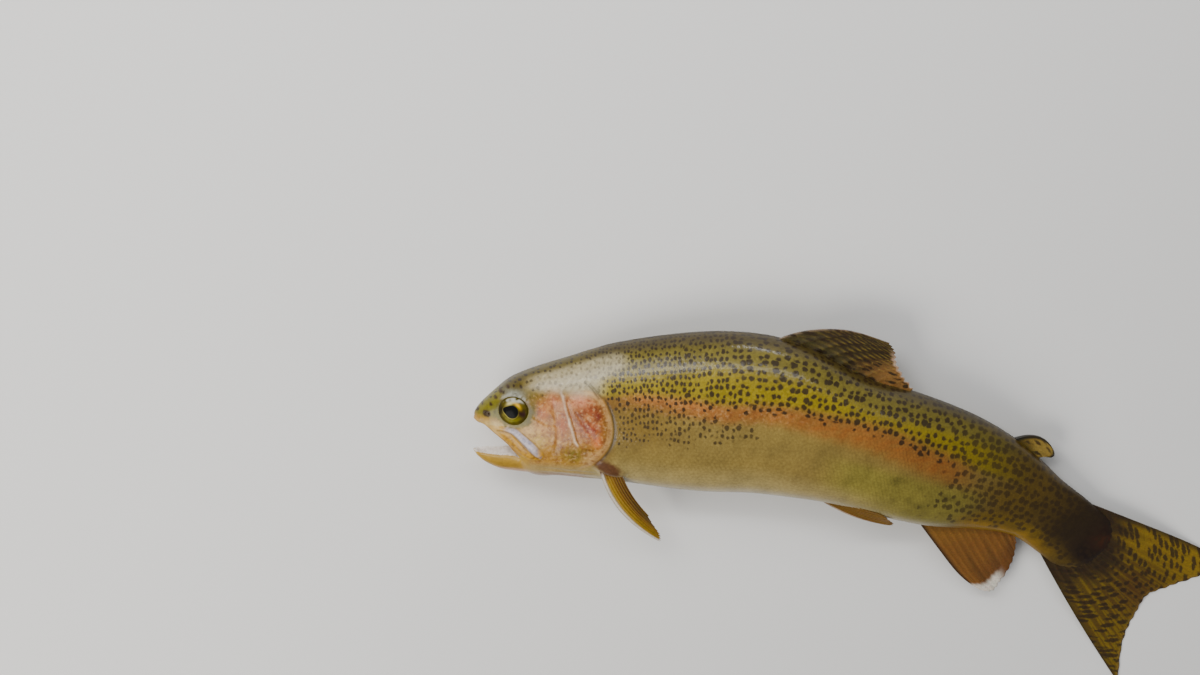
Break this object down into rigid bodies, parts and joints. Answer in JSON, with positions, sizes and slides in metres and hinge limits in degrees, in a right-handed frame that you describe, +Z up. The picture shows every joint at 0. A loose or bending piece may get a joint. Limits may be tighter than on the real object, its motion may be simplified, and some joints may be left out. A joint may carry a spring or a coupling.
{
  "type": "rainbow trout",
  "caption": "Still, life-size trout lying on its right side, mouth a little open, tail swept down, with scaled skin, wet eyes and thin rayed fins.",
  "frame": {"origin": "centre of the flat under the right flank, on the floor the fish lies on", "axes": "+X from the head towards the tail, +Y towards the fish's back, +Z up, which is the fish's left side"},
  "size_m": [0.3225, 0.1693, 0.0381],
  "materials": {
    "skin": "wet gloss",
    "eye": "wet gloss",
    "fin": "wet gloss"
  },
  "bodies": {
    "root": {"head": "skin", "lower_jaw": "skin", "upper_jaw_left": "skin", "upper_jaw_right": "skin", "gill_cover_left": "skin", "gill_cover_right": "skin", "trunk": "skin", "tail_stem": "skin", "eye_left": "eye", "eye_right": "eye", "dorsal_fin": "fin", "adipose_fin": "fin", "anal_fin": "fin", "caudal_fin": "fin", "pectoral_fin_left": "fin", "pectoral_fin_right": "fin", "pelvic_fin_left": "fin", "pelvic_fin_right": "fin"}
  },
  "joints": []
}
